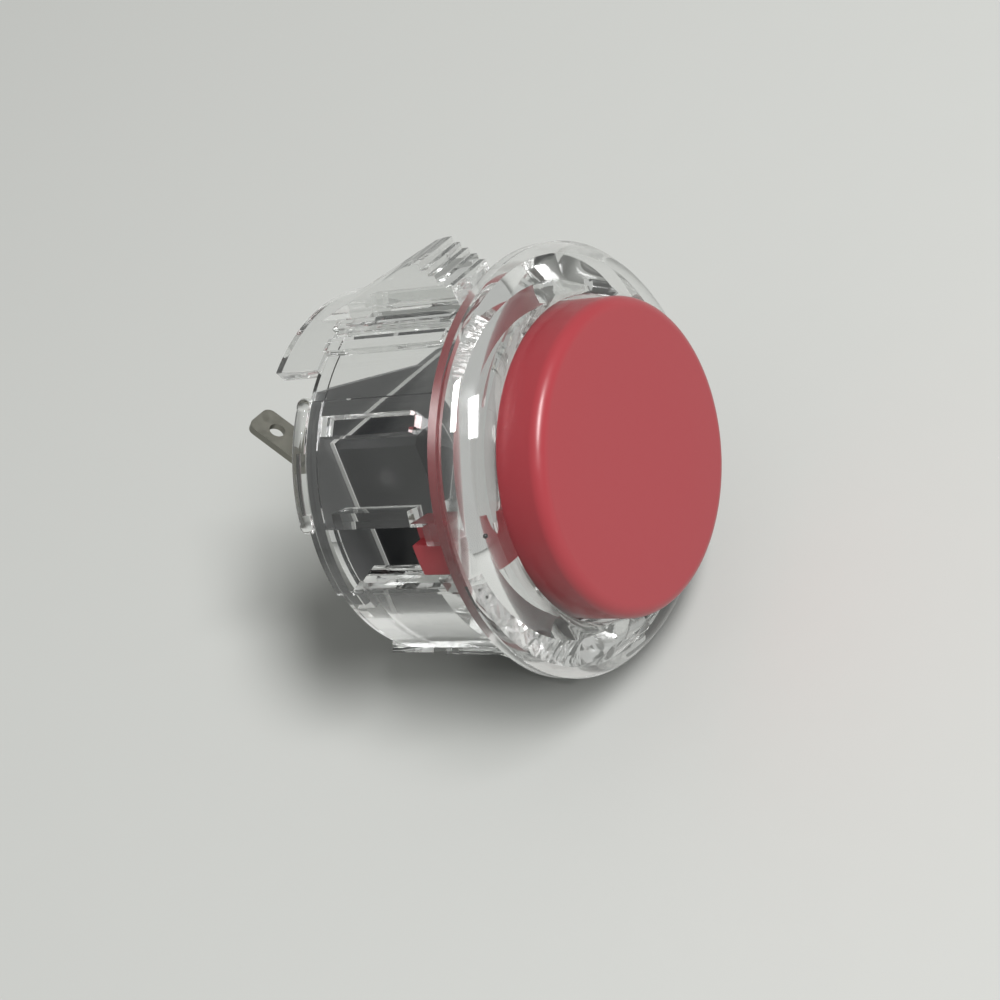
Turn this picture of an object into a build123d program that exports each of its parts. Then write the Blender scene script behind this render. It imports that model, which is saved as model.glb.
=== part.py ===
from build123d import *
import math
import os

# Low-profile snap-in push button for a 30 mm panel hole.
# Z runs out of the plunger, z = 0 is the flange seat on the panel, X runs through the two snap arms.
# Everything is in millimetres. Features that come in pairs sit half a turn apart.

# Body: flange, bezel and wall. Every radius steps in or out from the collar that fills the panel hole.
COLLAR_R = 14.85
COLLAR = 1.2
SEAT = 1.8
RIM_EDGE = 1.15
BEZEL_TOP = 3.15
BEZEL_LAND = 0.7
BEZEL_LIP = 0.3
DOME_IN, DOME_DOWN = 1.3, 0.6
WALL_STEP = 0.5
WALL_THICK = 0.95
WALL_BACK = -13.9
WEB = 1.0
WEB_UNDER = -0.3
BITE = 0.2

# Raised side panels, their windows and ribs, and the bead on the back rim (angles from X, in degrees)
PANEL_STEP = 0.05
PANEL_FROM, PANEL_TO = 40.5, 101.5
SLOT_ANGLE = 48.5
SLOT_WIDTH = 1.6
SLOT_ROUND = 0.55
SLOT_BACK, SLOT_FRONT = -12.0, -2.8
KEY_FROM, KEY_TO = 79.0, 100.6
KEY_BACK, KEY_FRONT = -12.3, -2.85
NOTCH_FROM, NOTCH_TO = 84.9, 97.3
NOTCH_FRONT = -1.5
GUIDE_HIGH = 1.7
GUIDE_SPAN = 4.0
GUIDE_BACK, GUIDE_FRONT = -12.0, -4.6
BEAD_R = 0.7
BEAD_IN = 0.1
BEAD_END = 1.0
NUB_R = 0.74
BEAD_BACK = -14.3

# Snap arms and the tongues they grow from
TONGUE_HALF = 30.0
TONGUE_STEP = 0.1
TONGUE_BACK = -18.0
ARM_WIDTH = 4.8
ARM_IN = 0.6
ARM_OUT = 3.5
ARM_TIP_Z = -5.4
ARM_LAND, ARM_LEAN = 1.0, 0.15
ARM_FRONT_OUT, ARM_FRONT_Z = 0.85, -2.5
ARM_BEVEL, ARM_CHIN = 0.65, 0.2
ARM_ROOT, ARM_TOE = -16.2, 0.4
ARM_RIDGES = 5
ARM_SLIT = 0.55
ARM_GAP_BACK, ARM_GAP_FRONT = -13.2, -1.3
RAIL_ANGLES = ((12.6, 16.4), (19.6, 24.2))
RAIL_HIGH, RAIL_LOW = 0.9, 0.7
RAIL_FRONT = -1.4
PANEL_CLEAR = -2.1

# Plunger
PLUNGER_GAP = 0.28
PLUNGER_TOP = 6.7
PLUNGER_EDGE = 1.05
PLUNGER_WALL = 1.25
PLUNGER_CROWN = 1.7
SKIRT_END = -1.9
STROKE = 2.0
TAB_GAP = 0.35
TAB_SIDE = 0.6
TAB_END = -4.9
HOOK_IN = 0.25
HOOK_SIDE_GAP = 0.25
HOOK_STOP_GAP = 0.12
BOSS_R = 2.1
RIB_HALF, RIB_THICK, RIB_END = 5.5, 1.0, 1.6

# Switch: a base whose two round ends sit in the raised panels, and a box over the contacts
BASE_STEP = 0.2
BASE_HALF = 8.1
BASE_TURN = 72.5
BASE_FRONT, BASE_BACK = -12.9, -13.9
BASE_GAP = 0.05
CATCH_DEEP, CATCH_HIGH = 0.8, 0.9
CATCH_FROM, CATCH_TO = 56.0, 75.0
CASE_X, CASE_Y = 14.6, 18.7
CASE_TOP = -4.8
CASE_ROOF = 1.3
CASE_WALL = 1.1
CASE_CHAMFER = 0.5
PLUG = 0.8
PLUG_GAP = 0.05

# Actuator and its spring
ACT_R = 2.3
ACT_GAP = 0.06
ACT_TOUCH = 0.02
ACT_OUT = 0.2
ACT_CHAMFER = 0.3
ACT_COLLAR_R = 3.3
ACT_COLLAR = 0.9
ROOF_GAP = 0.05
WING_FROM, WING_TO = -3.4, -1.8
WING_ROOT, WING_SHORT = 2.4, 0.4
WING_DEEP = 0.5
SPRING_R = 2.1
SPRING_WIRE = 0.42
SPRING_TURNS = 5
PEG_R = 1.45
PEG_HIGH = 1.0

# Contacts and terminals
STRIP = 2.8
STRIP_THICK = 0.6
TERM_X, TERM_Y = 3.9, 5.4
BEND_Z = -19.8
TIP_Z = -24.0
TERM_ROUND = 0.7
TERM_HOLE, TERM_HOLE_IN = 1.3, 2.0
CREASE_WIDE, CREASE_LONG, CREASE_HIGH = 0.36, 1.9, 0.24
CREASE_SIDE, CREASE_IN = 0.45, 4.3
BLADE_TOP = -8.9
BLADE_THICK = 0.25
BLADE_HALF = 1.1
BLADE_ROUND = 0.9
BLADE_END = -6.0
CONTACT_X = -4.7
CONTACT_R = 1.1
CONTACT_HIGH = 0.55
CONTACT_ROUND = 0.3

FLANGE_R = COLLAR_R + SEAT
CUT_R = FLANGE_R + BITE
WALL_R = COLLAR_R - WALL_STEP
PANEL_R = COLLAR_R - PANEL_STEP
TONGUE_R = COLLAR_R - TONGUE_STEP
BORE_R = WALL_R - WALL_THICK
GUIDE_R = BORE_R - GUIDE_HIGH
BEAD_RING = WALL_R - BEAD_IN
WEB_R = BORE_R - WEB
BASE_R = BORE_R + BASE_STEP
RECESS_R = BASE_R + BASE_GAP
PLUNGER_R = WEB_R - PLUNGER_GAP
TAB_R = BORE_R - TAB_GAP
HOOK_R = WALL_R - HOOK_IN
FLOOR = BASE_FRONT + PLUG
ACT_TOP = CASE_TOP + STROKE + ACT_OUT
COLLAR_TOP = CASE_TOP - CASE_ROOF - ROOF_GAP
SPRING_TOP = COLLAR_TOP - ACT_COLLAR


def box(x0, x1, y0, y1, z0, z1):
    return Pos((x0 + x1) / 2, (y0 + y1) / 2, (z0 + z1) / 2) * Box(x1 - x0, y1 - y0, z1 - z0)


def disc(r, z0, z1, x=0.0, y=0.0):
    return Pos(x, y, (z0 + z1) / 2) * Cylinder(r, z1 - z0)


def sector(r_in, r_out, a0, a1, z0, z1):
    """A piece of ring between two angles."""
    profile = Polyline((r_in, z0), (r_out, z0), (r_out, z1), (r_in, z1), close=True)
    face = make_face(Plane.XZ * profile)
    return Rot(0, 0, a0) * revolve(face, Axis.Z, a1 - a0)


def half_turn(solid):
    return solid + Rot(0, 0, 180) * solid


def bezel():
    """The domed clear ring with its sharp-cornered seat, and the wall behind it."""
    shelf = BASE_FRONT + BASE_GAP
    land = (WEB_R + BEZEL_LAND, BEZEL_TOP)
    lip = (WEB_R + BEZEL_LIP, BEZEL_TOP)
    soft = BEZEL_LIP * (1 - math.sqrt(0.5))
    outline = [
        Line((WEB_R, WEB_UNDER), (BORE_R, WEB_UNDER)),
        Line((BORE_R, WEB_UNDER), (BORE_R, shelf)),
        Line((BORE_R, shelf), (RECESS_R, shelf)),
        Line((RECESS_R, shelf), (RECESS_R, WALL_BACK)),
        Line((RECESS_R, WALL_BACK), (WALL_R, WALL_BACK)),
        Line((WALL_R, WALL_BACK), (WALL_R, -COLLAR)),
        Line((WALL_R, -COLLAR), (COLLAR_R, -COLLAR)),
        Line((COLLAR_R, -COLLAR), (COLLAR_R, 0)),
        Line((COLLAR_R, 0), (FLANGE_R, 0)),
        Line((FLANGE_R, 0), (FLANGE_R, RIM_EDGE)),
        ThreePointArc((FLANGE_R, RIM_EDGE), (FLANGE_R - DOME_IN, BEZEL_TOP - DOME_DOWN), land),
        Line(land, lip),
        ThreePointArc(lip, (WEB_R + soft, BEZEL_TOP - soft), (WEB_R, BEZEL_TOP - BEZEL_LIP)),
        Line((WEB_R, BEZEL_TOP - BEZEL_LIP), (WEB_R, WEB_UNDER)),
    ]
    return revolve(make_face([Plane.XZ * edge for edge in outline]), Axis.Z)


def bead():
    """Round bead on the back rim of a raised panel, ended by two ball-shaped nubs."""
    start, end = PANEL_FROM + BEAD_END, KEY_FROM - BEAD_END
    round_face = Plane.XZ * (Pos(BEAD_RING, BEAD_BACK) * Circle(BEAD_R))
    solid = Rot(0, 0, start) * revolve(round_face, Axis.Z, end - start)
    for angle in (start, end):
        solid += Rot(0, 0, angle) * Pos(BEAD_RING, 0, BEAD_BACK) * Sphere(NUB_R)
    return solid


def catch():
    """Lip inside the bead that reaches under the round end of the switch base."""
    front = BASE_BACK - BASE_GAP
    outer = BEAD_RING - BEAD_R / 3
    return sector(BASE_R - CATCH_DEEP, outer, CATCH_FROM, CATCH_TO, front - CATCH_HIGH, front)


def guides():
    """Ribs inside the wall that steer the plunger's tab, trimmed by the key window between them."""
    outer = BORE_R + BITE
    near = sector(GUIDE_R, outer, KEY_FROM - GUIDE_SPAN, KEY_FROM + 1, GUIDE_BACK, GUIDE_FRONT)
    return near + sector(GUIDE_R, outer, KEY_TO - 1, KEY_TO + GUIDE_SPAN, GUIDE_BACK, GUIDE_FRONT)


def side_panel():
    solid = sector(WALL_R - BITE, PANEL_R, PANEL_FROM, PANEL_TO, WALL_BACK, -COLLAR / 2)
    return solid + bead() + catch() + guides()


def side_windows():
    """What is cut through a raised panel: the narrow slot and the stepped key window."""
    r_in = GUIDE_R - BITE
    slot = box(r_in, CUT_R, -SLOT_WIDTH / 2, SLOT_WIDTH / 2, SLOT_BACK, SLOT_FRONT)
    slot = fillet(slot.edges().filter_by(Axis.X).group_by(Axis.Z)[-1], SLOT_ROUND)
    cut = Rot(0, 0, SLOT_ANGLE) * slot
    cut += sector(r_in, CUT_R, KEY_FROM, KEY_TO, KEY_BACK, KEY_FRONT)
    return cut + sector(r_in, CUT_R, NOTCH_FROM, NOTCH_TO, KEY_FRONT - BITE, NOTCH_FRONT)


def arm():
    """Snap wedge: sloped back for pushing through the panel, ridged front that grips its rear face."""
    inner = WALL_R - ARM_IN
    tip_x, front_x = COLLAR_R + ARM_OUT, COLLAR_R + ARM_FRONT_OUT
    points = [
        (inner, ARM_ROOT - ARM_TOE),
        (TONGUE_R - ARM_LEAN, ARM_ROOT),
        (tip_x - ARM_LEAN, ARM_TIP_Z - ARM_LAND),
        (tip_x, ARM_TIP_Z),
    ]
    step_x = (front_x - tip_x) / ARM_RIDGES
    step_z = (ARM_FRONT_Z - ARM_TIP_Z) / ARM_RIDGES
    for i in range(ARM_RIDGES):
        points.append((tip_x + i * step_x, ARM_TIP_Z + (i + 1) * step_z))
        points.append((tip_x + (i + 1) * step_x, ARM_TIP_Z + (i + 1) * step_z))
    points += [(inner + ARM_BEVEL, ARM_FRONT_Z + ARM_CHIN), (inner, ARM_FRONT_Z)]
    return extrude(make_face(Plane.XZ * Polyline(*points, close=True)), ARM_WIDTH / 2, both=True)


def arm_gap():
    """The opening in the wall that leaves the arm free at its front and sides."""
    half = ARM_WIDTH / 2 + ARM_SLIT
    return box(GUIDE_R, CUT_R, -half, half, ARM_GAP_BACK, ARM_GAP_FRONT)


def tongue():
    """The tongue an arm grows from, with the rails beside it that stop short of the panel."""
    solid = sector(RECESS_R + BITE / 10, TONGUE_R, -TONGUE_HALF, TONGUE_HALF, TONGUE_BACK, WALL_BACK + BITE)
    for side in (-1, 1):
        for (a0, a1), high in zip(RAIL_ANGLES, (RAIL_HIGH, RAIL_LOW)):
            lo, hi = sorted((side * a0, side * a1))
            solid += sector(WALL_R - BITE, WALL_R + high, lo, hi, WALL_BACK + BITE, PANEL_CLEAR)
            solid += sector(WALL_R - BITE, PANEL_R, lo, hi, PANEL_CLEAR - BITE, RAIL_FRONT)
    return solid


def body():
    solid = bezel() + half_turn(side_panel()) + half_turn(tongue())
    solid -= half_turn(side_windows()) + half_turn(arm_gap())
    return solid + half_turn(arm())


def plunger():
    """Red cup with a centre boss and two hooked guide tabs that ride in the key windows."""
    r_in = PLUNGER_R - PLUNGER_WALL
    crown = PLUNGER_TOP - PLUNGER_CROWN
    cup = disc(PLUNGER_R, SKIRT_END, PLUNGER_TOP)
    cup = fillet(cup.edges().group_by(Axis.Z)[-1], PLUNGER_EDGE)
    cup -= disc(r_in, SKIRT_END - BITE, crown)
    cup += disc(BOSS_R, ACT_TOP + ACT_TOUCH, crown + BITE)
    for angle in (0, 90):
        half = RIB_THICK / 2
        cup += Rot(0, 0, angle) * box(-RIB_HALF, RIB_HALF, -half, half, RIB_END, crown + BITE)
    tab = sector(r_in, TAB_R, KEY_FROM + TAB_SIDE, KEY_TO - TAB_SIDE, TAB_END, WEB_UNDER - HOOK_STOP_GAP)
    side = math.degrees(HOOK_SIDE_GAP / HOOK_R)
    hook_top = NOTCH_FRONT - HOOK_STOP_GAP
    tab += sector(r_in, HOOK_R, NOTCH_FROM + side, NOTCH_TO - side, TAB_END, hook_top)
    return cup + half_turn(tab)


def switch_base():
    """Plate with two round ends held by the catches, with a plug that the box fits over."""
    ends = Rot(0, 0, BASE_TURN) * box(-CUT_R, CUT_R, -BASE_HALF, BASE_HALF, BASE_BACK, BASE_FRONT)
    x, y = CASE_X / 2, CASE_Y / 2
    solid = disc(BASE_R, BASE_BACK, BASE_FRONT) & (ends + box(-x, x, -y, y, BASE_BACK, BASE_FRONT))
    x, y = x - CASE_WALL - PLUG_GAP, y - CASE_WALL - PLUG_GAP
    solid += box(-x, x, -y, y, BASE_FRONT, FLOOR)
    solid += disc(PEG_R, FLOOR, FLOOR + PEG_HIGH)
    t, w = STRIP_THICK / 2, STRIP / 2
    slit = box(TERM_X - t, TERM_X + t, TERM_Y - w, TERM_Y + w, BASE_BACK - BITE, FLOOR + BITE)
    return solid - half_turn(slit)


def switch_case():
    """Box over the contacts, open towards the base, with the hole that guides the actuator."""
    x, y = CASE_X / 2, CASE_Y / 2
    solid = box(-x, x, -y, y, BASE_FRONT, CASE_TOP)
    solid = chamfer(solid.edges().filter_by(Axis.Z), CASE_CHAMFER)
    inner = CASE_TOP - CASE_ROOF
    solid -= box(-x + CASE_WALL, x - CASE_WALL, -y + CASE_WALL, y - CASE_WALL, BASE_FRONT, inner)
    return solid - disc(ACT_R + ACT_GAP, inner - BITE, CASE_TOP + BITE)


def actuator():
    """Push pin with a collar under the cover, a spring socket below and a wing that bends the blade."""
    solid = disc(ACT_R, SPRING_TOP, ACT_TOP) + disc(ACT_COLLAR_R, SPRING_TOP, COLLAR_TOP)
    solid = chamfer(solid.edges().group_by(Axis.Z)[-1], ACT_CHAMFER)
    wing_end = TERM_Y + STRIP / 2 - WING_SHORT
    solid += box(WING_FROM, WING_TO, WING_ROOT, wing_end, SPRING_TOP - WING_DEEP, COLLAR_TOP)
    return solid + disc(PEG_R, SPRING_TOP - PEG_HIGH, SPRING_TOP)


def return_spring():
    low = FLOOR + SPRING_WIRE / 2
    high = SPRING_TOP - SPRING_WIRE / 2
    path = Helix((high - low) / SPRING_TURNS, high - low, SPRING_R)
    path = Pos(0, 0, low) * path
    section = Plane(path @ 0, z_dir=path % 0) * RegularPolygon(SPRING_WIRE / 2, 8)
    return sweep(section, path, is_frenet=True)


def rounded_end():
    """What is cut off a terminal's tip to round its two corners; the strip runs along z from here."""
    r, half = TERM_ROUND, STRIP / 2
    cut = Box(STRIP, 2 * STRIP, 2 * r) - Box(2 * STRIP, STRIP - 2 * r, 4 * r)
    for y in (r - half, half - r):
        cut -= Pos(0, y, r) * Rot(0, 90, 0) * Cylinder(r, 2 * STRIP)
    return cut


def terminal_blade():
    """The flat blade outside: straight out of the box, then bent 45 degrees away from the axis."""
    t = STRIP_THICK / 2
    turn = t * math.tan(math.radians(22.5))
    tip_x = TERM_X + BEND_Z - TIP_Z
    c = t * math.sqrt(0.5)
    side = [
        (TERM_X - t, FLOOR),
        (TERM_X + t, FLOOR),
        (TERM_X + t, BEND_Z + turn),
        (tip_x + c, TIP_Z + c),
        (tip_x - c, TIP_Z - c),
        (TERM_X - t, BEND_Z - turn),
    ]
    face = make_face(Plane.XZ * Polyline(*side, close=True))
    strip = Pos(0, TERM_Y, 0) * extrude(face, STRIP / 2, both=True)
    flat = Pos(tip_x, TERM_Y, TIP_Z) * Rot(0, -45, 0)
    hole = flat * Pos(0, 0, TERM_HOLE_IN) * Rot(0, 90, 0) * Cylinder(TERM_HOLE / 2, STRIP)
    crease = flat * Pos(t, -CREASE_SIDE, CREASE_IN) * Box(CREASE_HIGH, CREASE_WIDE, CREASE_LONG)
    return strip - flat * rounded_end() - hole + crease


def common_terminal():
    """Terminal that carries the root of the contact blade on its inner end."""
    t, w = STRIP_THICK / 2, STRIP / 2
    top = BLADE_TOP - BLADE_THICK
    return terminal_blade() + box(TERM_X - t, TERM_X + t, TERM_Y - w, TERM_Y + w, FLOOR - BITE, top)


def open_terminal():
    """Terminal whose inner end lies on the box floor and carries the fixed contact."""
    blade = Rot(0, 0, 180) * terminal_blade()
    t, w = STRIP_THICK / 2, STRIP / 2
    z1 = FLOOR + STRIP_THICK
    root = box(-TERM_X - t, -TERM_X + t, -TERM_Y - w, -TERM_Y + w, FLOOR - BITE, z1)
    foot = box(CONTACT_X - w, -TERM_X + t, -TERM_Y - w, TERM_Y + w, FLOOR, z1)
    return blade + root + foot


def contact_blade():
    x1 = TERM_X + STRIP_THICK / 2
    bottom = BLADE_TOP - BLADE_THICK
    strip = box(BLADE_END, x1, TERM_Y - BLADE_HALF, TERM_Y + BLADE_HALF, bottom, BLADE_TOP)
    return fillet(strip.edges().filter_by(Axis.Z).group_by(Axis.X)[0], BLADE_ROUND)


def moving_contact():
    z = BLADE_TOP - BLADE_THICK
    solid = disc(CONTACT_R, z - CONTACT_HIGH, z, CONTACT_X, TERM_Y)
    return fillet(solid.edges().group_by(Axis.Z)[0], CONTACT_ROUND)


def fixed_contact():
    z = FLOOR + STRIP_THICK
    solid = disc(CONTACT_R, z, z + CONTACT_HIGH, CONTACT_X, TERM_Y)
    return fillet(solid.edges().group_by(Axis.Z)[-1], CONTACT_ROUND)


def main():
    os.makedirs("parts", exist_ok=True)
    pieces = (
        body, plunger, switch_base, switch_case, actuator, return_spring,
        contact_blade, moving_contact, fixed_contact, common_terminal, open_terminal,
    )
    for make in pieces:
        export_step(make(), f"parts/{make.__name__}.step")


main()
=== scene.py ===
# %% [markdown]
# A clear snap-in push button is dressed here as it lies in its photograph. The part was drawn and
# packed before, so its frame is loaded first. Every piece made below stays in that frame, unturned
# and unscaled, because it takes the place of a drawn piece or rides on one and has to move with it.

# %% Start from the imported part
import math

import bmesh
import bpy
from mathutils import Matrix, Vector


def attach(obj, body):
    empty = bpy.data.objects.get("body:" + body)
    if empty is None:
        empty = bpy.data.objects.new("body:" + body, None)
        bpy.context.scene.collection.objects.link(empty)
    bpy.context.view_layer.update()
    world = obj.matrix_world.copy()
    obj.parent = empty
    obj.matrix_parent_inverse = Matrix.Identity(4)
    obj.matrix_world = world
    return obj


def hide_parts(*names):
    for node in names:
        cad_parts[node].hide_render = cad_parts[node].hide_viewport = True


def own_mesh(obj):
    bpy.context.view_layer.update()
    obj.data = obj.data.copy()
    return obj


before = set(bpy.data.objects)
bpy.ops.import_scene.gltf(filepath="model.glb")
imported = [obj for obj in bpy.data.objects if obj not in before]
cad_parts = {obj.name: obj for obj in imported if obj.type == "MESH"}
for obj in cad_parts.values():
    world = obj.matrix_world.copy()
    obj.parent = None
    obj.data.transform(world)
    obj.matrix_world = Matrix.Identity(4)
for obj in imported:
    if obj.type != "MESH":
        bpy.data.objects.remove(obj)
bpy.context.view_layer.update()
scene = bpy.context.scene
scene.view_settings.view_transform = "Standard"
print("nodes:", sorted(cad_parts))

# %% [markdown]
# The button is mostly one clear moulding, and clear plastic shows every flat facet of its mesh.
# The drawn pieces are meant for measuring and are cut into few faces, so the two big turned pieces,
# the clear body and the red plunger, are made again here with fine steps. Their sizes are kept in
# millimetres as the drawing has them, and a finished piece is turned into metres once.

# %% Sizes of the clear body
MM = 0.001
STEPS = 288
FLANGE_R, RIM_EDGE, BEZEL_TOP = 16.65, 1.15, 3.15
WALL_R, PANEL_R, COLLAR_R, BORE_R, WEB_R = 14.35, 14.8, 14.85, 13.4, 12.4
WALL_BACK, COLLAR, WEB_UNDER = -13.9, 1.2, -0.3
RECESS_R, RECESS_FRONT = 13.65, -12.85
BITE = 0.2
print("flange is", 2 * FLANGE_R, "mm across")


# %% [markdown]
# Most forms on the body go round its axis: a lathe makes what is turned, and a ring block what
# follows the wall between two angles. Both carry an outline round and close the result, because
# clear plastic needs a real inside and outside. The lathe starts a share of one step past the X
# axis, so that its edges never lie exactly on the edges of a block: a cut through two edges at once
# is where boolean tools go wrong.

# %% Makers for what goes round
LATHE_START = 0.3


def finish_mesh(name, bm):
    bmesh.ops.recalc_face_normals(bm, faces=bm.faces)
    mesh = bpy.data.meshes.new(name)
    bm.to_mesh(mesh)
    bm.free()
    piece = bpy.data.objects.new(name, mesh)
    scene.collection.objects.link(piece)
    return piece


def skin(bm, rows, closed):
    """Faces between neighbouring rows of points; rows that don't come round again get two end caps."""
    count = len(rows[0])
    pairs = list(zip(rows, rows[1:]))
    if closed:
        pairs.append((rows[-1], rows[0]))
    for here, there in pairs:
        for i in range(count):
            j = (i + 1) % count
            bm.faces.new((here[i], there[i], there[j], here[j]))
    if not closed:
        bm.faces.new(rows[0])
        bm.faces.new(rows[-1][::-1])


def swept(name, outline, angles, closed=False):
    """An outline of (radius, height) points carried round the plunger's axis through the angles."""
    bm = bmesh.new()
    rows = []
    for angle in angles:
        c, s = math.cos(math.radians(angle)), math.sin(math.radians(angle))
        rows.append([bm.verts.new((r * c, r * s, z)) for r, z in outline])
    skin(bm, rows, closed)
    return finish_mesh(name, bm)


def lathe(name, outline):
    return swept(name, outline, [360 * (k + LATHE_START) / STEPS for k in range(STEPS)], closed=True)


def between(a0, a1):
    """Angles from a0 to a1 at about the lathe's spacing."""
    steps = max(2, math.ceil((a1 - a0) * STEPS / 360))
    return [a0 + (a1 - a0) * k / steps for k in range(steps + 1)]


def ring_block(name, r_in, r_out, a0, a1, z0, z1):
    """A block that follows the wall between two angles in degrees."""
    return swept(name, ((r_in, z0), (r_out, z0), (r_out, z1), (r_in, z1)), between(a0, a1))


# %% [markdown]
# The straight forms are drawn from the side and pulled along Y. Every feature comes twice on the
# body, half a turn apart, so one is drawn and its twin is a turned copy.

# %% Makers for straight forms and twins
def prism(name, side, y0, y1):
    """A side view of (x, z) points, pulled along Y."""
    bm = bmesh.new()
    skin(bm, [[bm.verts.new((x, y, z)) for x, z in side] for y in (y0, y1)], closed=False)
    return finish_mesh(name, bm)


def block(name, x0, x1, y0, y1, z0, z1):
    return prism(name, ((x0, z0), (x1, z0), (x1, z1), (x0, z1)), y0, y1)


def turned(piece, degrees):
    piece.data.transform(Matrix.Rotation(math.radians(degrees), 4, "Z"))
    return piece


def opposite(piece):
    """The same shape half a turn round, as every feature of the body comes twice."""
    twin = piece.copy()
    twin.data = piece.data.copy()
    scene.collection.objects.link(twin)
    return turned(twin, 180)


# %% [markdown]
# The moulding is put together the way a toolmaker thinks of it: the turned ring first, then what
# is added to it, then what is cut away. Boolean modifiers do each step, and the result is kept as
# a plain mesh. The shapes that were only needed for a step are removed after it.

# %% Helpers that join, cut and finish a mesh
def plain(piece, name):
    """The piece with its modifiers worked out, as an ordinary mesh."""
    graph = bpy.context.evaluated_depsgraph_get()
    mesh = bpy.data.meshes.new_from_object(piece.evaluated_get(graph))
    mesh.name = name
    piece.modifiers.clear()
    piece.data = mesh
    piece.name = name
    return piece


def combine(base, tools, operation):
    for tool in tools:
        step = base.modifiers.new(tool.name, "BOOLEAN")
        step.object, step.operation, step.solver = tool, operation, "EXACT"
    plain(base, base.name)
    for tool in tools:
        bpy.data.objects.remove(tool)
    print(base.name, operation.lower(), len(tools), "->", len(base.data.polygons), "faces")


def to_metres(piece, degrees=28):
    """Scales a finished piece and shades it round wherever its faces meet at a small angle."""
    piece.data.transform(Matrix.Scale(MM, 4))
    for face in piece.data.polygons:
        face.use_smooth = True
    piece.data.set_sharp_from_angle(angle=math.radians(degrees))
    print(piece.name, "is", [round(side / MM, 2) for side in piece.dimensions], "mm")


# %% [markdown]
# The bezel's top is a shallow dome that ends in a thin straight edge at the rim. Seen from the
# side, that edge works as a light pipe and shows the red plunger as a thin red line round the
# flange. A painted line would stay put when the view moves, so nothing is painted: a true dome, a
# flat seat and a close bore give the line by themselves.

# %% Turned ring of the clear body
def arc(p, q, r, count):
    """Points on the circle through three points, from the first to the last."""
    (ax, ay), (bx, by), (cx, cy) = p, q, r
    a2, b2, c2 = ax * ax + ay * ay, bx * bx + by * by, cx * cx + cy * cy
    d = 2 * (ax * (by - cy) + bx * (cy - ay) + cx * (ay - by))
    ox = (a2 * (by - cy) + b2 * (cy - ay) + c2 * (ay - by)) / d
    oy = (a2 * (cx - bx) + b2 * (ax - cx) + c2 * (bx - ax)) / d
    rad = math.hypot(ax - ox, ay - oy)
    t0, t1 = math.atan2(ay - oy, ax - ox), math.atan2(cy - oy, cx - ox)
    turns = [t0 + (t1 - t0) * i / count for i in range(count + 1)]
    return [(ox + rad * math.cos(t), oy + rad * math.sin(t)) for t in turns]


SEAT_EDGE, DOME_STEPS = 0.1, 18
DOME_IN, DOME_DOWN, FLAT_TOP = 1.3, 0.6, 0.7
LIP, LIP_ROUND = 0.3, 0.3
dome_mid, dome_end = (FLANGE_R - DOME_IN, BEZEL_TOP - DOME_DOWN), (WEB_R + FLAT_TOP, BEZEL_TOP)
ring_outline = [(WEB_R, WEB_UNDER), (BORE_R, WEB_UNDER), (BORE_R, RECESS_FRONT)]
ring_outline += [(RECESS_R, RECESS_FRONT), (RECESS_R, WALL_BACK), (WALL_R, WALL_BACK)]
ring_outline += [(WALL_R, -COLLAR), (COLLAR_R, -COLLAR), (COLLAR_R, 0)]
ring_outline += [(FLANGE_R - SEAT_EDGE, 0), (FLANGE_R, SEAT_EDGE)]
ring_outline += arc((FLANGE_R, RIM_EDGE), dome_mid, dome_end, DOME_STEPS)
ring_outline += [(WEB_R + LIP, BEZEL_TOP), (WEB_R + LIP_ROUND * LIP, BEZEL_TOP - LIP_ROUND * LIP)]
ring_outline.append((WEB_R, BEZEL_TOP - LIP))
clear_body = lathe("clear_body", ring_outline)
print("ring outline has", len(ring_outline), "points")

# %% [markdown]
# On each side the wall carries a raised panel whose back rim is thickened to a round bead with a
# ball at each end. A lip inside the bead catches the switch base. Two ribs inside the wall steer
# the plunger's tab. All of these follow the wall, so they are ring blocks, and the bead is the
# same sweep with a round outline.

# %% Raised panel, bead, catch and guide ribs
PANEL_FROM, PANEL_TO = 40.5, 101.5
KEY_FROM, KEY_TO, KEY_BACK, KEY_FRONT = 79.0, 100.6, -12.3, -2.85
PANEL_LIFT = 0.03
BEAD_R, BEAD_RING, BEAD_BACK, BEAD_SHORT, BEAD_SIDES = 0.7, 14.25, -14.3, 1.0, 20
NUB_R, NUB_ROUND, NUB_HIGH = 0.74, 32, 20
CATCH_R, CATCH_FROM, CATCH_TO, CATCH_HIGH, CATCH_GAP = 12.8, 56.0, 75.0, 0.9, 0.05
GUIDE_R, GUIDE_SPAN, GUIDE_LAP, GUIDE_BACK, GUIDE_FRONT = 11.7, 4.0, 1.0, -12.0, -4.6


def bead():
    ring = [2 * math.pi * i / BEAD_SIDES for i in range(BEAD_SIDES)]
    outline = [(BEAD_RING + BEAD_R * math.cos(t), BEAD_BACK + BEAD_R * math.sin(t)) for t in ring]
    return swept("bead", outline, between(PANEL_FROM + BEAD_SHORT, KEY_FROM - BEAD_SHORT))


def nub(angle):
    bm = bmesh.new()
    bmesh.ops.create_uvsphere(bm, u_segments=NUB_ROUND, v_segments=NUB_HIGH, radius=NUB_R)
    bmesh.ops.translate(bm, vec=(BEAD_RING, 0, BEAD_BACK), verts=bm.verts)
    return turned(finish_mesh("nub", bm), angle)


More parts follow.
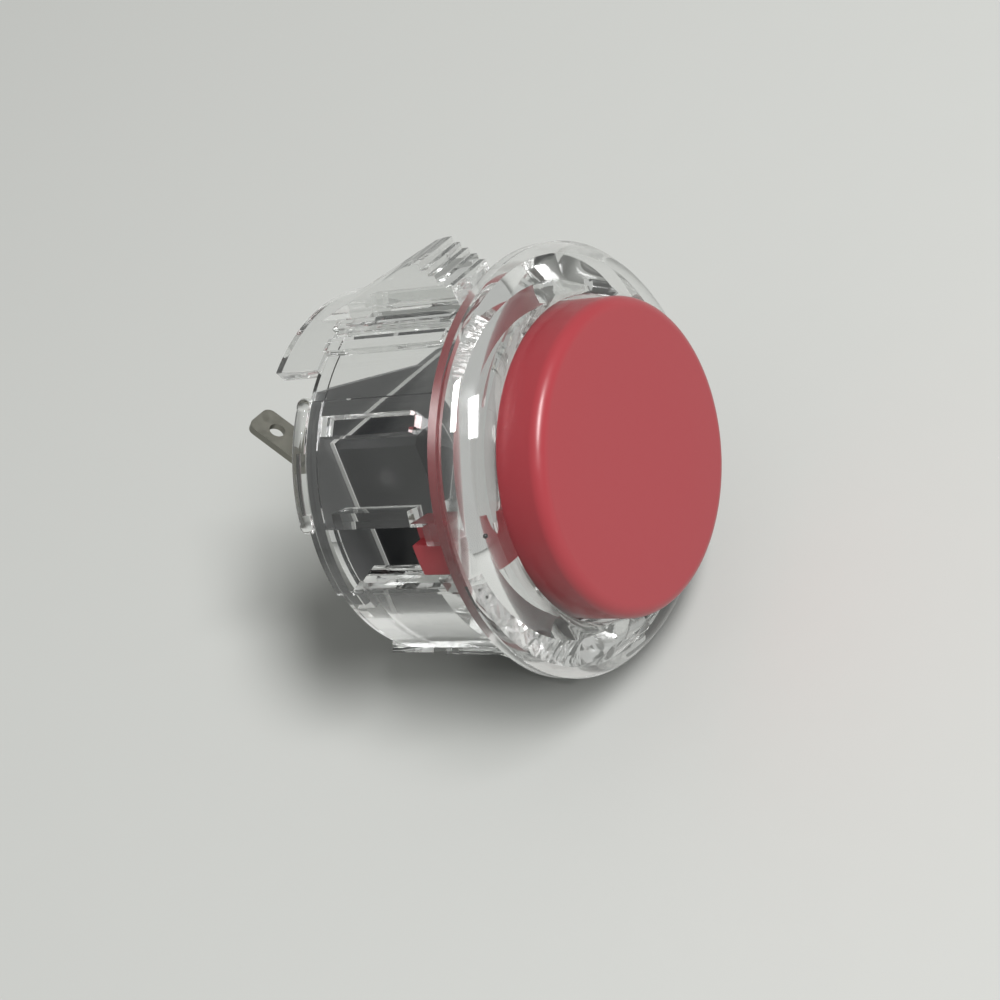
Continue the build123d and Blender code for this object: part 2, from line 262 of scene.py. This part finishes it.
panel_in, panel_back = WALL_R - BITE, WALL_BACK + PANEL_LIFT
added = [ring_block("panel", panel_in, PANEL_R, PANEL_FROM, PANEL_TO, panel_back, -COLLAR / 2)]
added += [bead(), nub(PANEL_FROM + BEAD_SHORT), nub(KEY_FROM - BEAD_SHORT)]
catch_out, catch_front = BEAD_RING - BEAD_R / 3, WALL_BACK - CATCH_GAP
added.append(ring_block("catch", CATCH_R, catch_out, CATCH_FROM, CATCH_TO,
                        catch_front - CATCH_HIGH, catch_front))
for a0, a1 in ((KEY_FROM - GUIDE_SPAN, KEY_FROM + GUIDE_LAP), (KEY_TO - GUIDE_LAP, KEY_TO + GUIDE_SPAN)):
    added.append(ring_block("guide", GUIDE_R, BORE_R + BITE, a0, a1, GUIDE_BACK, GUIDE_FRONT))
print(len(added), "shapes on each raised panel")

# %% [markdown]
# Next to each window the wall is smooth, and in the photograph it is much brighter than the shadow
# behind it. A thin wall would show that shadow. A thick one turns the view round inside itself and
# shows the lit table, so the wall is filled up inwards here. Its foot is thinner, because the
# corner of the switch base stands there. Small shifts keep faces off each other's planes.

# %% Thick smooth sides
THICK_LAP, THICK_TO, FOOT_FROM, FOOT_R, FOOT_SHORT = 0.5, 147.0, 111.0, 12.05, 0.1
HAIR, SHIFT = 0.01, 0.03
thick_from, thick_in, thick_out = KEY_TO + GUIDE_SPAN - THICK_LAP, GUIDE_R + HAIR, BORE_R + BITE + SHIFT
added.append(ring_block("thick_side", thick_in, thick_out, thick_from, THICK_TO,
                        GUIDE_BACK - SHIFT, GUIDE_FRONT + SHIFT))
added.append(ring_block("thick_foot", FOOT_R, thick_out + FOOT_SHORT, FOOT_FROM, THICK_TO - FOOT_SHORT,
                        panel_back + SHIFT, GUIDE_BACK + BITE))
print("smooth sides are", round(WALL_R - thick_in, 2), "mm thick")

# %% [markdown]
# Behind each snap arm the wall runs further back as a tongue, and two rails stand on each side of
# the arm. A rail stops short of the panel's thickness and only a lower step runs on to the collar,
# because the full rail would not pass the hole. The step is a second, lower block.

# %% Tongue and rails
TONGUE_BACK, TONGUE_R, TONGUE_HALF = -18.0, 14.75, 30.0
RAILS = ((12.6, 16.4, 15.25), (19.6, 24.2, 15.05))
RAIL_FRONT, PANEL_CLEAR, RAIL_SHORT, STEP_SHY = -1.4, -2.1, 0.27, 0.02
tongue_in, tongue_front = RECESS_R + STEP_SHY, WALL_BACK + BITE
added.append(ring_block("tongue", tongue_in, TONGUE_R, -TONGUE_HALF, TONGUE_HALF,
                        TONGUE_BACK, tongue_front))
for side in (-1, 1):
    for a0, a1, r in RAILS:
        lo, hi = sorted((side * a0, side * a1))
        added.append(ring_block("rail", panel_in, r, lo, hi, WALL_BACK + RAIL_SHORT, PANEL_CLEAR))
        added.append(ring_block("rail_step", panel_in - STEP_SHY, PANEL_R, lo + STEP_SHY, hi - STEP_SHY,
                                PANEL_CLEAR - BITE, RAIL_FRONT))
added += [opposite(piece) for piece in list(added)]
combine(clear_body, added, "UNION")

# %% [markdown]
# The raised panel is cut by a narrow slot with rounded front corners and by a stepped window that
# the plunger's tab shows in. A gap round each arm leaves it free to spring. Cutting comes after
# adding, so that one window goes through the panel, the wall and the ribs behind it alike.

# %% Windows and arm gaps
SLOT_ANGLE, SLOT_HALF, SLOT_BACK, SLOT_FRONT, SLOT_ROUND = 48.5, 0.8, -12.0, -2.8, 0.5
NOSE_NARROW, NOSE_LAP = 0.35, 0.1
NOTCH_FROM, NOTCH_TO, NOTCH_FRONT, NOTCH_LAP = 84.9, 97.3, -1.5, 0.5
ARM_WIDTH, ARM_SLIT, GAP_R, GAP_BACK, GAP_FRONT = 4.8, 0.55, BORE_R - 0.9, -13.2, -1.3
CUT_R, CUT_MORE = 17.0, 0.05
slot_main = block("slot", GUIDE_R, CUT_R, -SLOT_HALF, SLOT_HALF, SLOT_BACK, SLOT_FRONT - SLOT_ROUND)
nose_half, nose_back = SLOT_HALF - NOSE_NARROW, SLOT_FRONT - SLOT_ROUND - NOSE_LAP
slot_nose = block("slot_nose", GUIDE_R, CUT_R, -nose_half, nose_half, nose_back, SLOT_FRONT)
cuts = [turned(slot_main, SLOT_ANGLE), turned(slot_nose, SLOT_ANGLE)]
cuts.append(ring_block("key_window", GUIDE_R - BITE, CUT_R, KEY_FROM, KEY_TO, KEY_BACK, KEY_FRONT))
cuts.append(ring_block("notch", GUIDE_R - BITE / 2, CUT_R + CUT_MORE, NOTCH_FROM, NOTCH_TO,
                       KEY_FRONT - NOTCH_LAP, NOTCH_FRONT))
gap_half = ARM_WIDTH / 2 + ARM_SLIT
cuts.append(block("arm_gap", GAP_R, CUT_R, -gap_half, gap_half, GAP_BACK, GAP_FRONT))
cuts += [opposite(piece) for piece in list(cuts)]
combine(clear_body, cuts, "DIFFERENCE")


# %% [markdown]
# Two pieces follow a rule, the row of ridges on a snap arm and the coil of the return spring, and
# node trees make them. A tree has named inputs for its sizes. Its end is always the same: instances
# are made real and the material is set, because an export keeps neither by itself.

# %% Helpers for node trees
def new_tree(name, inputs):
    """An empty geometry tree with its named inputs, and the node that gives them out."""
    tree = bpy.data.node_groups.new(name, "GeometryNodeTree")
    tree.interface.new_socket("Geometry", in_out="OUTPUT", socket_type="NodeSocketGeometry")
    for label, kind in inputs:
        tree.interface.new_socket(label, in_out="INPUT", socket_type="NodeSocket" + kind)
    return tree, tree.nodes.new("NodeGroupInput")


def end_tree(tree, geometry, material):
    real = tree.nodes.new("GeometryNodeRealizeInstances")
    paint = tree.nodes.new("GeometryNodeSetMaterial")
    paint.inputs["Material"].default_value = material
    out = tree.nodes.new("NodeGroupOutput")
    tree.links.new(geometry, real.inputs["Geometry"])
    tree.links.new(real.outputs["Geometry"], paint.inputs["Geometry"])
    tree.links.new(paint.outputs["Geometry"], out.inputs["Geometry"])
    return tree


def grow(name, tree, values):
    """A plain mesh made by a tree, with each input set by its socket's identifier."""
    piece = bpy.data.objects.new(name, bpy.data.meshes.new(name))
    scene.collection.objects.link(piece)
    grown = piece.modifiers.new(name, "NODES")
    grown.node_group = tree
    for item in tree.interface.items_tree:
        if item.in_out == "INPUT":
            grown[item.identifier] = values[item.name]
    return plain(piece, name)


# %% [markdown]
# Each snap arm is a wedge: its long back slides through the panel hole, and its short front grips
# the panel's rear face with a row of ridges. The ridges are equal and evenly spaced, so the tree
# sets one bar on each point of a line. The bars don't touch each other, which keeps the join clean.

# %% Snap arms with their ridges
ARM_ROOT, ARM_HEEL = (13.75, -16.6), (TONGUE_R - 0.15, -16.2)
ARM_BEND, ARM_TIP = (18.2, -6.4), (18.35, -5.4)
ARM_FRONT, ARM_NOSE, ARM_NECK = (15.7, -2.5), (14.4, -2.3), (13.75, -2.5)
FIRST_RIDGE, LAST_RIDGE = (18.1, 0, -5.095), (15.98, 0, -2.775)
RIDGES, RIDGE_SIZE = 5, (0.5, ARM_WIDTH - 0.02, 0.55)
clear_finish = bpy.data.materials.new("clear_moulding")


def ridge_tree():
    tree, given = new_tree("ridge_row", (("Start", "Vector"), ("End", "Vector"),
                                         ("Ridges", "Int"), ("Bar size", "Vector")))
    line = tree.nodes.new("GeometryNodeMeshLine")
    line.mode = "END_POINTS"
    bar = tree.nodes.new("GeometryNodeMeshCube")
    on_points = tree.nodes.new("GeometryNodeInstanceOnPoints")
    tree.links.new(given.outputs["Start"], line.inputs["Start Location"])
    tree.links.new(given.outputs["End"], line.inputs["Offset"])
    tree.links.new(given.outputs["Ridges"], line.inputs["Count"])
    tree.links.new(given.outputs["Bar size"], bar.inputs["Size"])
    tree.links.new(line.outputs["Mesh"], on_points.inputs["Points"])
    tree.links.new(bar.outputs["Mesh"], on_points.inputs["Instance"])
    return end_tree(tree, on_points.outputs["Instances"], clear_finish)


ridges = grow("ridges", ridge_tree(), {
    "Start": FIRST_RIDGE, "End": LAST_RIDGE, "Ridges": RIDGES, "Bar size": RIDGE_SIZE})
arm_side = [ARM_ROOT, ARM_HEEL, ARM_BEND, ARM_TIP, ARM_FRONT, ARM_NOSE, ARM_NECK]
wedge = prism("wedge", arm_side, -ARM_WIDTH / 2, ARM_WIDTH / 2)
combine(clear_body, [wedge, ridges, opposite(wedge), opposite(ridges)], "UNION")
clear_body.data.materials.clear()
clear_body.data.materials.append(clear_finish)
to_metres(clear_body)

# %% [markdown]
# The plunger is a red cup with a flat top and a rounded edge. The edge is what the light catches,
# so its curve gets twelve steps. The lathe leaves a pinhole along the axis, which is drawn together
# into a point at each end. Two hooked tabs hang from the skirt into the key windows, and one of
# them is seen through its window in the photograph.

# %% Red plunger
def close_axis(piece, reach):
    """Merges the points within reach of the axis, end by end, and drops the line left between."""
    bm = bmesh.new()
    bm.from_mesh(piece.data)
    near = [v for v in bm.verts if math.hypot(v.co.x, v.co.y) < reach]
    bmesh.ops.remove_doubles(bm, verts=near, dist=2 * reach)
    bmesh.ops.delete(bm, geom=[edge for edge in bm.edges if edge.is_wire], context="EDGES")
    bm.to_mesh(piece.data)
    bm.free()


PLUNGER_R, PLUNGER_TOP, PLUNGER_EDGE, CUP_R, CROWN = 12.12, 6.7, 1.05, 10.87, 5.0
SKIRT_END, BOSS_R, BOSS_END, AXIS_R = -1.9, 2.1, -2.58, 0.02
EDGE_STEPS, TAB_SLACK, HOOK_SLACK = 12, 0.6, 1.0
TAB_IN, TAB_R, TAB_END, TAB_ROOT = CUP_R + 0.03, 13.05, -4.9, -0.42
HOOK_IN, HOOK_R, HOOK_END, HOOK_FRONT = CUP_R + 0.08, 14.1, -4.89, -1.62
RIB_LONG, RIB_HALF, RIB_END, RIB_LAP = 5.5, 0.5, 1.6, 0.3
soft = PLUNGER_EDGE * (1 - math.sqrt(0.5))
cup_outline = [(CUP_R, SKIRT_END), (PLUNGER_R, SKIRT_END)]
cup_outline += arc((PLUNGER_R, PLUNGER_TOP - PLUNGER_EDGE), (PLUNGER_R - soft, PLUNGER_TOP - soft),
                   (PLUNGER_R - PLUNGER_EDGE, PLUNGER_TOP), EDGE_STEPS)
cup_outline += [(PLUNGER_R / 2, PLUNGER_TOP), (AXIS_R, PLUNGER_TOP), (AXIS_R, BOSS_END)]
cup_outline += [(BOSS_R, BOSS_END), (BOSS_R, CROWN), (CUP_R, CROWN)]
red_plunger = lathe("red_plunger", cup_outline)
close_axis(red_plunger, 2 * AXIS_R)
tabs = [ring_block("tab", TAB_IN, TAB_R, KEY_FROM + TAB_SLACK, KEY_TO - TAB_SLACK, TAB_END, TAB_ROOT)]
tabs.append(ring_block("hook", HOOK_IN, HOOK_R, NOTCH_FROM + HOOK_SLACK, NOTCH_TO - HOOK_SLACK,
                       HOOK_END, HOOK_FRONT))
tabs += [opposite(piece) for piece in list(tabs)]
for turn in (0, 90):
    rib = block("crown_rib", -RIB_LONG, RIB_LONG, -RIB_HALF, RIB_HALF, RIB_END, CROWN + RIB_LAP)
    tabs.append(turned(rib, turn))
combine(red_plunger, tabs, "UNION")
to_metres(red_plunger)

# %% [markdown]
# The return spring sits hidden in the switch box and shortens when the plunger goes down. The drawn
# spring can't change its length; a new coil is grown along a spiral in its place.

# %% Return spring
FLOOR, SPRING_TOP, SPRING_R, WIRE_R, SPRING_TURNS, STROKE = -12.1, -7.05, 2.1, 0.21, 5.0, 2.0
COIL_STEPS, WIRE_SIDES = 48, 12
spring_finish = bpy.data.materials.new("spring_wire")


def spring_tree():
    tree, given = new_tree("coil", (("Turns", "Float"), ("Ring radius", "Float"), ("Height", "Float"),
                                    ("Wire radius", "Float"), ("Foot", "Vector")))
    path = tree.nodes.new("GeometryNodeCurveSpiral")
    path.inputs["Resolution"].default_value = COIL_STEPS
    section = tree.nodes.new("GeometryNodeCurvePrimitiveCircle")
    section.inputs["Resolution"].default_value = WIRE_SIDES
    wire = tree.nodes.new("GeometryNodeCurveToMesh")
    wire.inputs["Fill Caps"].default_value = True
    place = tree.nodes.new("GeometryNodeTransform")
    tree.links.new(given.outputs["Turns"], path.inputs["Rotations"])
    tree.links.new(given.outputs["Ring radius"], path.inputs["Start Radius"])
    tree.links.new(given.outputs["Ring radius"], path.inputs["End Radius"])
    tree.links.new(given.outputs["Height"], path.inputs["Height"])
    tree.links.new(given.outputs["Wire radius"], section.inputs["Radius"])
    tree.links.new(path.outputs["Curve"], wire.inputs["Curve"])
    tree.links.new(section.outputs["Curve"], wire.inputs["Profile Curve"])
    tree.links.new(wire.outputs["Mesh"], place.inputs["Geometry"])
    tree.links.new(given.outputs["Foot"], place.inputs["Translation"])
    return end_tree(tree, place.outputs["Geometry"], spring_finish)


coil = grow("coil_spring", spring_tree(), {
    "Turns": SPRING_TURNS, "Ring radius": SPRING_R, "Height": SPRING_TOP - FLOOR - 2 * WIRE_R,
    "Wire radius": WIRE_R, "Foot": (0, 0, FLOOR + WIRE_R)})
to_metres(coil)


# %% [markdown]
# Two small things complete what the photograph shows. A pale line runs along the foot of the
# switch box. What makes it can't be seen, so it is drawn as a painted highlight: a thin pale frame
# round the foot. A dark speck sits in the bezel, as when a grain is caught in a moulding, and is a
# small ball.

# %% Painted highlight at the foot of the switch box, and speck in the bezel
BOX_X, BOX_Y, BOX_FOOT, HIGHLIGHT_WIDE, HIGHLIGHT_HIGH, HOLE_MORE = 7.3, 9.35, -12.9, 0.12, 0.35, 1.0
SPECK_R, SPECK_AT, SPECK_FINE = 0.2, (1.9, 14.45, 2.55), 2
highlight_x, highlight_y, hole_x, hole_y = BOX_X + HIGHLIGHT_WIDE, BOX_Y + HIGHLIGHT_WIDE, BOX_X + HAIR, BOX_Y + HAIR
# A thin pale frame round the foot of the box: a painted highlight, the bright line that light makes along
# that edge.
painted_highlight = block("painted_highlight", -highlight_x, highlight_x, -highlight_y, highlight_y, BOX_FOOT + HAIR, BOX_FOOT + HIGHLIGHT_HIGH)
hole = block("hole", -hole_x, hole_x, -hole_y, hole_y, BOX_FOOT - HOLE_MORE, BOX_FOOT + HOLE_MORE)
combine(painted_highlight, [hole], "DIFFERENCE")
bm = bmesh.new()
bmesh.ops.create_icosphere(bm, subdivisions=SPECK_FINE, radius=SPECK_R)
bmesh.ops.translate(bm, vec=SPECK_AT, verts=bm.verts)
speck = finish_mesh("speck", bm)
to_metres(painted_highlight)
to_metres(speck)

# %% [markdown]
# The finishes come next. Each one starts from the same shader, with its plain values set on the
# shader itself. A noise on the piece's own coordinates then varies the gloss a little and gives a
# shallow bump, because no moulded or rolled surface is perfectly even.

# %% Helpers for finishes
NOISE_DETAIL, NOISE_LOW, NOISE_HIGH = 4, 0.3, 0.7


def finish(material, color, rough, metallic=0.0, grain=900.0, bump=0.02, depth=0.00002, **plain_values):
    """Fills a material: rough is the (lowest, highest) roughness that the noise runs between."""
    material.use_nodes = True
    tree = material.node_tree
    shader = tree.nodes["Principled BSDF"]
    shader.inputs["Base Color"].default_value = (*color, 1)
    shader.inputs["Metallic"].default_value = metallic
    for name, value in plain_values.items():
        shader.inputs[name.replace("_", " ")].default_value = value
    where = tree.nodes.new("ShaderNodeTexCoord")
    noise = tree.nodes.new("ShaderNodeTexNoise")
    noise.inputs["Scale"].default_value = grain
    noise.inputs["Detail"].default_value = NOISE_DETAIL
    spread = tree.nodes.new("ShaderNodeMapRange")
    spread.inputs["From Min"].default_value = NOISE_LOW
    spread.inputs["From Max"].default_value = NOISE_HIGH
    spread.inputs["To Min"].default_value, spread.inputs["To Max"].default_value = rough
    relief = tree.nodes.new("ShaderNodeBump")
    relief.inputs["Strength"].default_value = bump
    relief.inputs["Distance"].default_value = depth
    tree.links.new(where.outputs["Object"], noise.inputs["Vector"])
    tree.links.new(noise.outputs["Fac"], spread.inputs["Value"])
    tree.links.new(spread.outputs["Result"], shader.inputs["Roughness"])
    tree.links.new(noise.outputs["Fac"], relief.inputs["Height"])
    tree.links.new(relief.outputs["Normal"], shader.inputs["Normal"])
    return shader


def either_shader(tree, chooser, first, second, output):
    """Sends the first shader to the output, or the second one where the chooser says 1."""
    either = tree.nodes.new("ShaderNodeMixShader")
    tree.links.new(chooser, either.inputs["Fac"])
    tree.links.new(first, either.inputs[1])
    tree.links.new(second, either.inputs[2])
    tree.links.new(either.outputs["Shader"], tree.nodes[output].inputs["Surface"])


# %% [markdown]
# Clear plastic bends light like thick glass. Light also has to reach the plunger and the switch
# through it, which takes many samples to find by chance, so shadow rays pass straight through with
# some loss and everything else is bent properly. A slow, shallow bump stands for the sink and flow
# marks that make a moulded lens shimmer.

# %% Clear moulding
CLEAR_COLOR, CLEAR_SHADE = (0.9, 0.905, 0.9), (0.8, 0.805, 0.8, 1)
clear_shader = finish(clear_finish, CLEAR_COLOR, (0.0, 0.05), grain=260.0, bump=0.15,
                      Transmission_Weight=1.0, IOR=1.5)
tree = clear_finish.node_tree
ray = tree.nodes.new("ShaderNodeLightPath")
through = tree.nodes.new("ShaderNodeBsdfTransparent")
through.inputs["Color"].default_value = CLEAR_SHADE
either_shader(tree, ray.outputs["Is Shadow Ray"], clear_shader.outputs["BSDF"],
              through.outputs["BSDF"], "Material Output")
print("clear moulding bends light by", clear_shader.inputs["IOR"].default_value)


# %% [markdown]
# The other pieces are plain: a red moulding with a soft gloss, duller black ones, white for the push
# pin, and bare metals inside. The switch base is black plastic drawn grey, as painted light that its
# face catches. The tabs that leave the back are tinned strip, which is grey and slightly mottled
# where the tin flowed, so they get a finer and stronger grain.

# %% Solid plastics and metals
def coat(material, pieces, **values):
    finish(material, **values)
    for piece in pieces:
        piece.data.materials.clear()
        piece.data.materials.append(material)
    print(material.name, "on", [piece.name for piece in pieces])


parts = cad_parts
new_material = bpy.data.materials.new
coat(new_material("red_moulding"), [red_plunger], color=(0.34, 0.037, 0.047), rough=(0.28, 0.36), bump=0.03)
coat(new_material("black_moulding"), [parts["switch_case"], speck],
     color=(0.022, 0.023, 0.025), rough=(0.3, 0.45))
# The switch base is black plastic; its grey colour is painted light, the light that its face catches.
coat(new_material("painted_lit_black"), [parts["switch_base"]], color=(0.11, 0.112, 0.112), rough=(0.35, 0.5))
# Pale colour of the frame at the box foot: a painted highlight.
coat(new_material("painted_highlight_line"), [painted_highlight], color=(0.8, 0.8, 0.78), rough=(0.3, 0.4))
coat(new_material("white_moulding"), [parts["actuator"]], color=(0.75, 0.75, 0.72), rough=(0.4, 0.5))
coat(spring_finish, [coil], color=(0.5, 0.5, 0.5), rough=(0.25, 0.35), metallic=1.0)
coat(new_material("copper_strip"), [parts["contact_blade"]],
     color=(0.72, 0.42, 0.24), rough=(0.25, 0.4), metallic=1.0)
coat(new_material("silver_contact"), [parts["moving_contact"], parts["fixed_contact"]],
     color=(0.8, 0.8, 0.77), rough=(0.2, 0.35), metallic=1.0)
coat(new_material("tinned_strip"), [parts["common_terminal"], parts["open_terminal"]],
     color=(0.24, 0.235, 0.205), rough=(0.35, 0.55), metallic=1.0, grain=1500.0, bump=0.1)

# %% [markdown]
# The new body, plunger and coil now take the place of their drawn pieces and ride on the same
# bodies, so they move when the button is pressed. The painted highlight frame and the speck ride
# on the housing.

# %% Hand the new pieces to their bodies
for piece, node, body, slot_name in ((clear_body, "body", "housing", "clear_plastic"),
                                     (red_plunger, "plunger", "plunger", "red_plastic"),
                                     (coil, "return_spring", "housing", "spring_steel")):
    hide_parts(node)
    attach(piece, body)
for piece, slot_name in ((painted_highlight, "white_plastic"), (speck, "black_plastic")):
    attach(piece, "housing")
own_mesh(coil)

# %% [markdown]
# In the photograph the button lies on its side on a pale table. The part keeps its own upright
# frame, so the table is a tilted plane instead. It runs along the line from the flange's rim to the
# end of the lower tongue, and is lowered until the body's lowest point, a corner of the lower snap
# arm, just touches it. Its back is clear, so that it hides nothing from views that look through it.

# %% Table
TABLE_COLOR, TABLE_UP, TABLE_HALF = (0.6, 0.607, 0.585), (0.905, 0.4125, 0.108), 2.0
table_up = Vector(TABLE_UP).normalized()
lowest = min(table_up.dot(v.co) for v in clear_body.data.vertices)
place = Matrix.Translation(table_up * lowest) @ table_up.to_track_quat("Z", "Y").to_matrix().to_4x4()
bm = bmesh.new()
bmesh.ops.create_grid(bm, x_segments=1, y_segments=1, size=TABLE_HALF)
bmesh.ops.transform(bm, matrix=place, verts=bm.verts)
mesh = bpy.data.meshes.new("table")
bm.to_mesh(mesh)
bm.free()
table = bpy.data.objects.new("table", mesh)
scene.collection.objects.link(table)
table_finish = bpy.data.materials.new("pale_table")
table_shader = finish(table_finish, TABLE_COLOR, (0.5, 0.6), grain=300.0)
tree = table_finish.node_tree
facing = tree.nodes.new("ShaderNodeNewGeometry")
clear_back = tree.nodes.new("ShaderNodeBsdfTransparent")
either_shader(tree, facing.outputs["Backfacing"], table_shader.outputs["BSDF"],
              clear_back.outputs["BSDF"], "Material Output")
mesh.materials.append(table_finish)
print("table is", round(-lowest / MM, 2), "mm from the axis")

# %% [markdown]
# The camera stands where the picture was taken from. Its place was found by fitting the flange's
# and the plunger's circles to the picture, and it is written as two directions and a point in the
# part's frame. The lens is fairly long, so the near and far halves of a circle look almost alike.

# %% Camera
LENS, SENSOR, NEAREST = 93.6, 36.0, 0.01
AHEAD, RIGHT, EYE = (-0.3819, -0.6868, -0.6184), (-0.3354, -0.5205, 0.7852), (74.94, 140.62, 118.8)
ahead = Vector(AHEAD).normalized()
up = Vector(RIGHT).cross(ahead).normalized()
right = ahead.cross(up)
eye = Vector(EYE) * MM
camera = bpy.data.objects.new("camera", bpy.data.cameras.new("camera"))
axes = Matrix((right, up, -ahead)).transposed().to_4x4()
camera.matrix_world = Matrix.Translation(eye) @ axes
camera.data.lens, camera.data.sensor_width = LENS, SENSOR
camera.data.clip_start = NEAREST
scene.collection.objects.link(camera)
scene.camera = camera
print("camera is", round(eye.length / MM), "mm from the button")


# %% [markdown]
# One soft lamp near the camera makes the short bright streak on the plunger's edge and the shadow
# at the lower left. It is taller than wide, as the narrow streaks in the bezel show. Its direction
# is given as right, up and towards the viewer in the picture, which is how a photograph's light
# is read.

# %% Lamp
LAMP_TOWARD, LAMP_DISTANCE = (0.13, 0.4, 0.91), 0.8
LAMP_WIDTH, LAMP_HEIGHT, LAMP_POWER = 0.17, 0.3, 7.3


def lamp(name, toward, distance, width, height, power):
    data = bpy.data.lights.new(name, "AREA")
    data.shape, data.size, data.size_y, data.energy = "RECTANGLE", width, height, power
    way = (right * toward[0] + up * toward[1] - ahead * toward[2]).normalized()
    light = bpy.data.objects.new(name, data)
    light.location = way * distance
    light.rotation_mode = "QUATERNION"
    across = up.cross(way).normalized()
    light.rotation_quaternion = Matrix((across, way.cross(across), way)).transposed().to_quaternion()
    scene.collection.objects.link(light)
    print(name, "lamp at", [round(c, 2) for c in light.location], "m")


lamp("soft", LAMP_TOWARD, LAMP_DISTANCE, LAMP_WIDTH, LAMP_HEIGHT, LAMP_POWER)

# %% [markdown]
# The room round the button is a pale, even world. Seen directly, or through the clear plastic, it
# is as pale as the table. As a light it is weaker, so that the lamp's shadow keeps its depth. Clear
# plastic passes light along its walls in many small reflections, so both kinds of bounce go deep.

# %% Room and depth of bounces
ROOM_COLOR, ROOM_LIGHT, ROOM_SEEN, BOUNCES = (0.62, 0.63, 0.61, 1), 0.36, 0.8, 64
world = bpy.data.worlds.new("room")
scene.world = world
world.use_nodes = True
tree = world.node_tree
fill, seen = tree.nodes["Background"], tree.nodes.new("ShaderNodeBackground")
fill.inputs["Color"].default_value, fill.inputs["Strength"].default_value = ROOM_COLOR, ROOM_LIGHT
seen.inputs["Color"].default_value, seen.inputs["Strength"].default_value = ROOM_COLOR, ROOM_SEEN
ray = tree.nodes.new("ShaderNodeLightPath")
bent, direct = tree.nodes.new("ShaderNodeMath"), tree.nodes.new("ShaderNodeMath")
bent.operation = direct.operation = "MAXIMUM"
tree.links.new(ray.outputs["Is Glossy Ray"], bent.inputs[0])
tree.links.new(ray.outputs["Is Transmission Ray"], bent.inputs[1])
tree.links.new(ray.outputs["Is Camera Ray"], direct.inputs[0])
tree.links.new(bent.outputs["Value"], direct.inputs[1])
either_shader(tree, direct.outputs["Value"], fill.outputs["Background"],
              seen.outputs["Background"], "World Output")
scene.cycles.caustics_refractive = scene.cycles.caustics_reflective = False
scene.cycles.max_bounces = scene.cycles.transparent_max_bounces = BOUNCES
scene.cycles.glossy_bounces = scene.cycles.transmission_bounces = BOUNCES
print("light may bounce", BOUNCES, "times")
